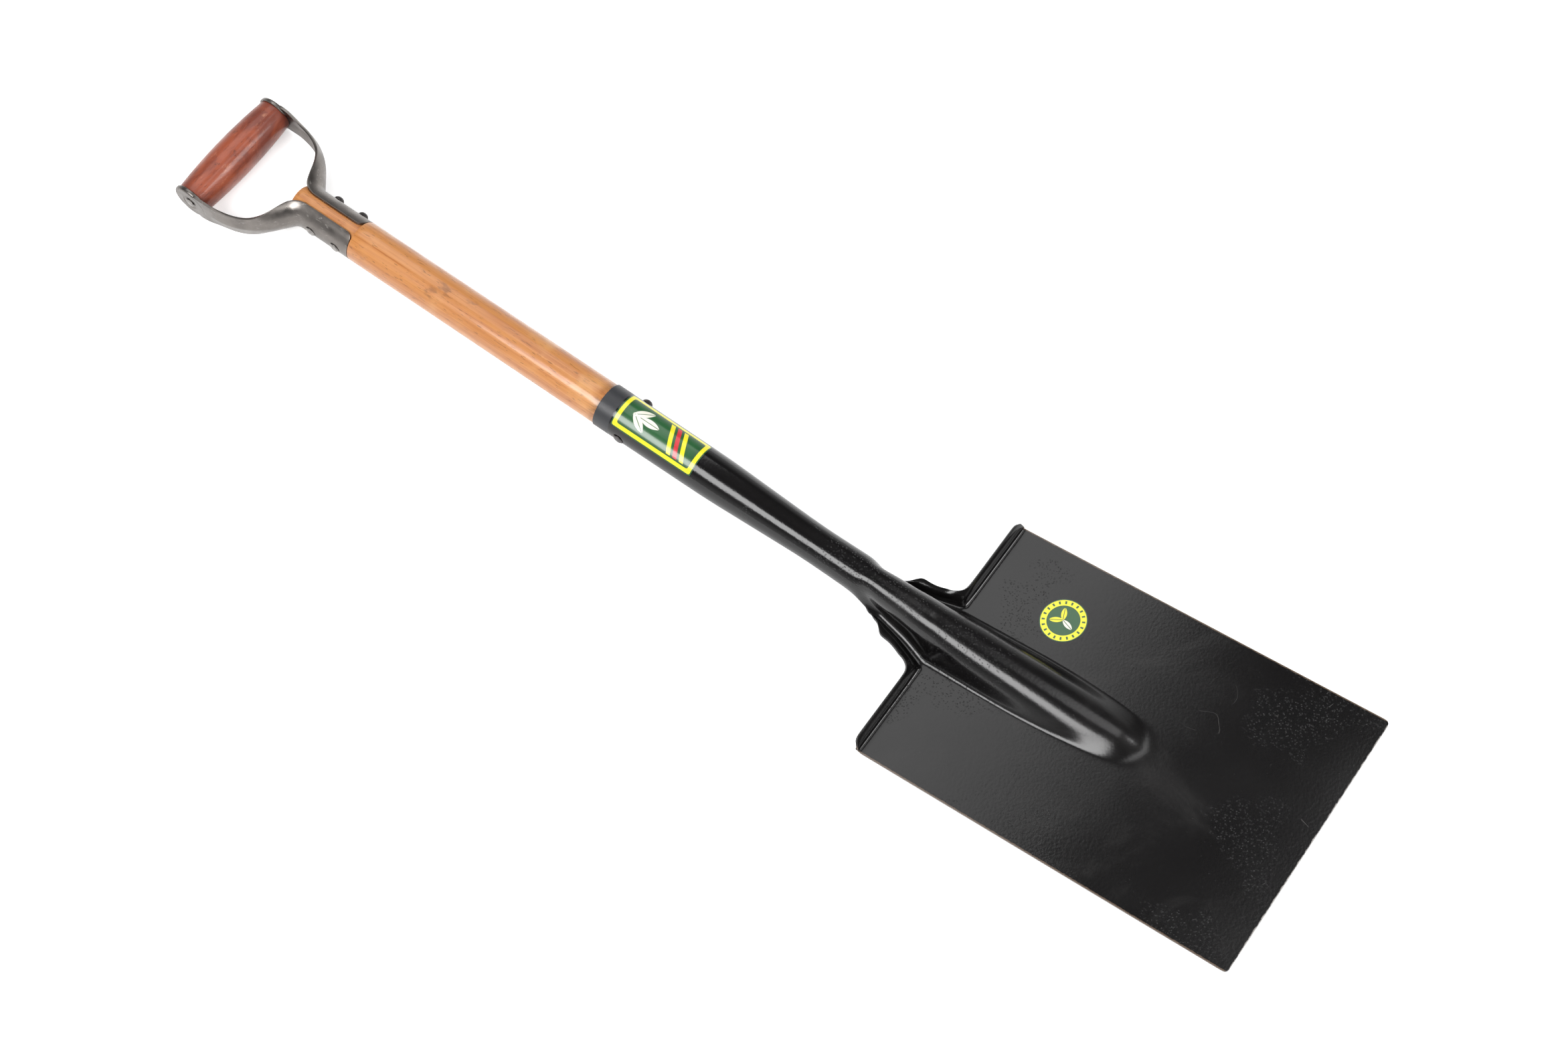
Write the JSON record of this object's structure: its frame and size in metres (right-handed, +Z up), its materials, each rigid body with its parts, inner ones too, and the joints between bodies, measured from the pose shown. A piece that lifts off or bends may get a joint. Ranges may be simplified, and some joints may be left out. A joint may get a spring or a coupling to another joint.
{
  "type": "garden spade",
  "caption": "Long-handled digging spade: flat pressed steel blade with folded treads and a raised frog, socketed to a wooden shaft that ends in a strapped wooden D handle",
  "frame": {"origin": "on the ground under the middle of the spade's bounding box, with the spade lying on its back", "axes": "+X along the shaft from the handle to the cutting edge, +Y across the blade, +Z up"},
  "size_m": [0.9906, 0.214, 0.0684],
  "materials": {
    "black_paint": "gloss black paint with runs, pits and fine dust",
    "shaft_wood": "straight-grained wood under orange varnish",
    "strap_steel": "bare grey steel under clear lacquer, scratched",
    "grip_wood": "red-brown stained wood, varnished",
    "rivet_steel": "dark blued steel, hammered tails",
    "label_print": "printed plastic label, yellow and green"
  },
  "bodies": {
    "root": {"blade": "black_paint", "shaft": "shaft_wood", "left_strap": "strap_steel", "right_strap": "strap_steel", "grip": "grip_wood", "grip_rivet": "rivet_steel", "upper_handle_rivet": "rivet_steel", "lower_handle_rivet": "rivet_steel", "socket_rivet": "rivet_steel", "socket_label": "label_print", "blade_label": "label_print"}
  },
  "joints": []
}
